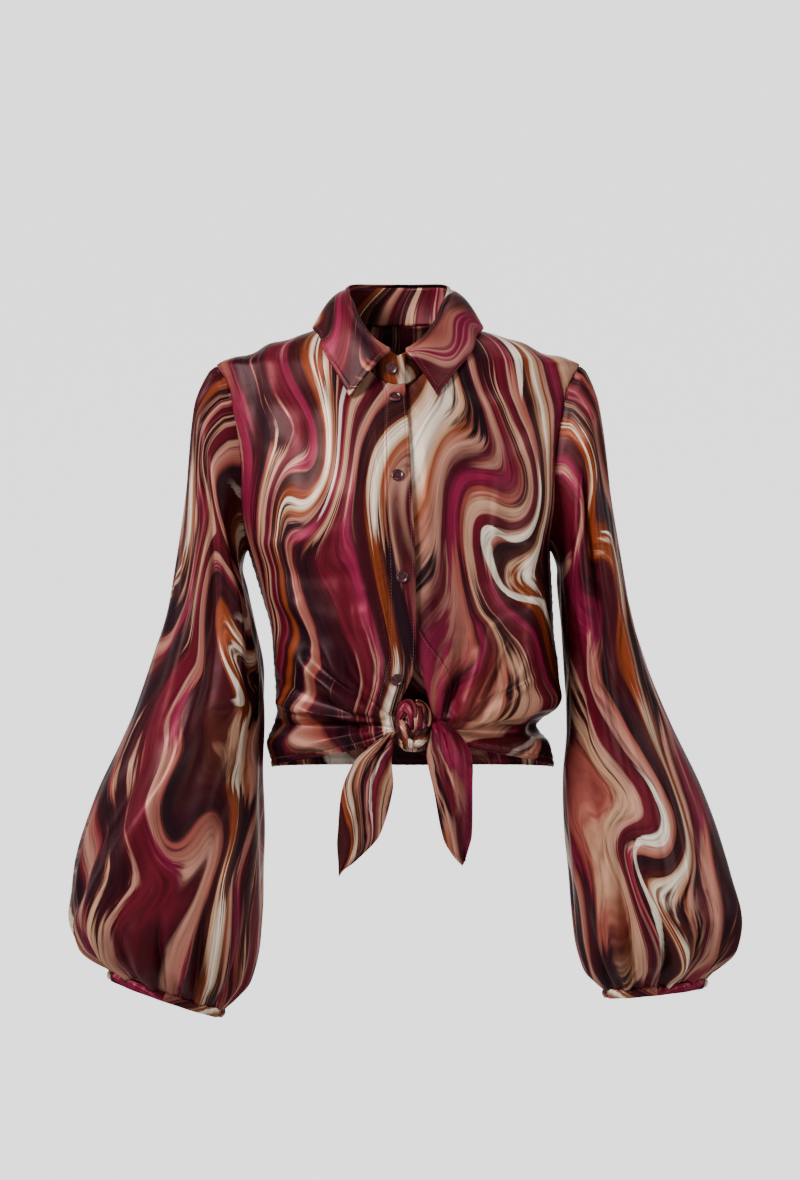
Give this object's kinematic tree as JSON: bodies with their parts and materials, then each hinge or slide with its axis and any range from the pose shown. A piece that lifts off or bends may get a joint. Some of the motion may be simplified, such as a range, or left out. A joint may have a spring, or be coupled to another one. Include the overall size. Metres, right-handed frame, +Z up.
{
  "type": "printed blouse",
  "caption": "Satin blouse with a shirt collar, a button front knotted at the waist and balloon sleeves gathered into narrow cuffs, all over printed.",
  "frame": {"origin": "midway between the shoulders at the height of the side neck points, where the wearer's shoulders hold the blouse", "axes": "+Z up along the wearer, -Y out of the front, +X towards the wearer's left"},
  "size_m": [0.6705, 0.2307, 0.7355],
  "materials": {
    "printed_satin": "soft satin sheen, marbled print in burgundy, plum, raspberry, rust, tan and cream",
    "button": "dark red, polished, four holes"
  },
  "bodies": {
    "root": {"front_right": "printed_satin", "front_left": "printed_satin", "back": "printed_satin", "sleeve_right": "printed_satin", "sleeve_left": "printed_satin", "cuff_right": "printed_satin", "cuff_left": "printed_satin", "collar_stand": "printed_satin", "collar_leaf": "printed_satin", "placket": "printed_satin", "under_placket": "printed_satin", "knot": "printed_satin", "tie_end_right": "printed_satin", "tie_end_left": "printed_satin", "button_1": "button", "button_2": "button", "button_3": "button", "button_4": "button", "button_5": "button"}
  },
  "joints": []
}
